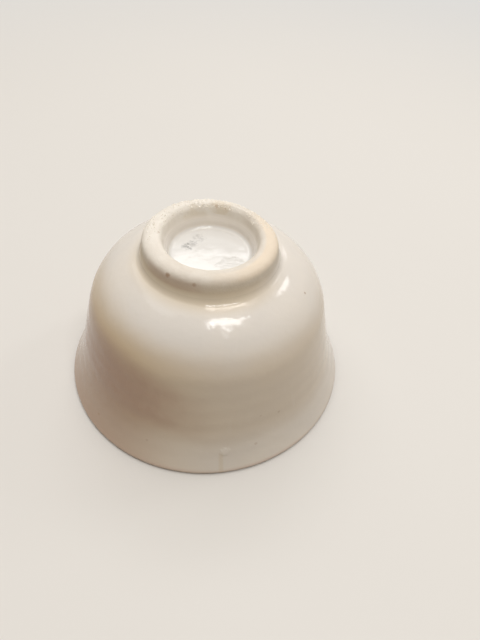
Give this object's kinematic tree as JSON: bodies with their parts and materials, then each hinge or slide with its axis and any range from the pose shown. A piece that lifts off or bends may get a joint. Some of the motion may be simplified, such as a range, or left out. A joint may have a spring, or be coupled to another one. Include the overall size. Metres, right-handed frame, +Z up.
{
  "type": "tea bowl",
  "caption": "Small glazed porcelain tea bowl of gaiwan type, standing mouth down: flared lip, round shoulder and a thick bare-faced foot ring.",
  "frame": {"origin": "on the bowl's axis, in the plane that the lip stands on", "axes": "+Z up the bowl's axis, from the mouth to the foot's face; the bowl is the same all round"},
  "size_m": [0.06, 0.06, 0.035],
  "materials": {
    "clay": "bare fired porcelain, matt and a little sandy, toasted at the edges",
    "glaze": "clear gloss glaze over warm white porcelain"
  },
  "bodies": {
    "root": {"bowl_body": "clay", "foot_ring": "clay", "outer_glaze": "glaze", "inner_glaze": "glaze", "foot_well_glaze": "glaze"}
  },
  "joints": []
}
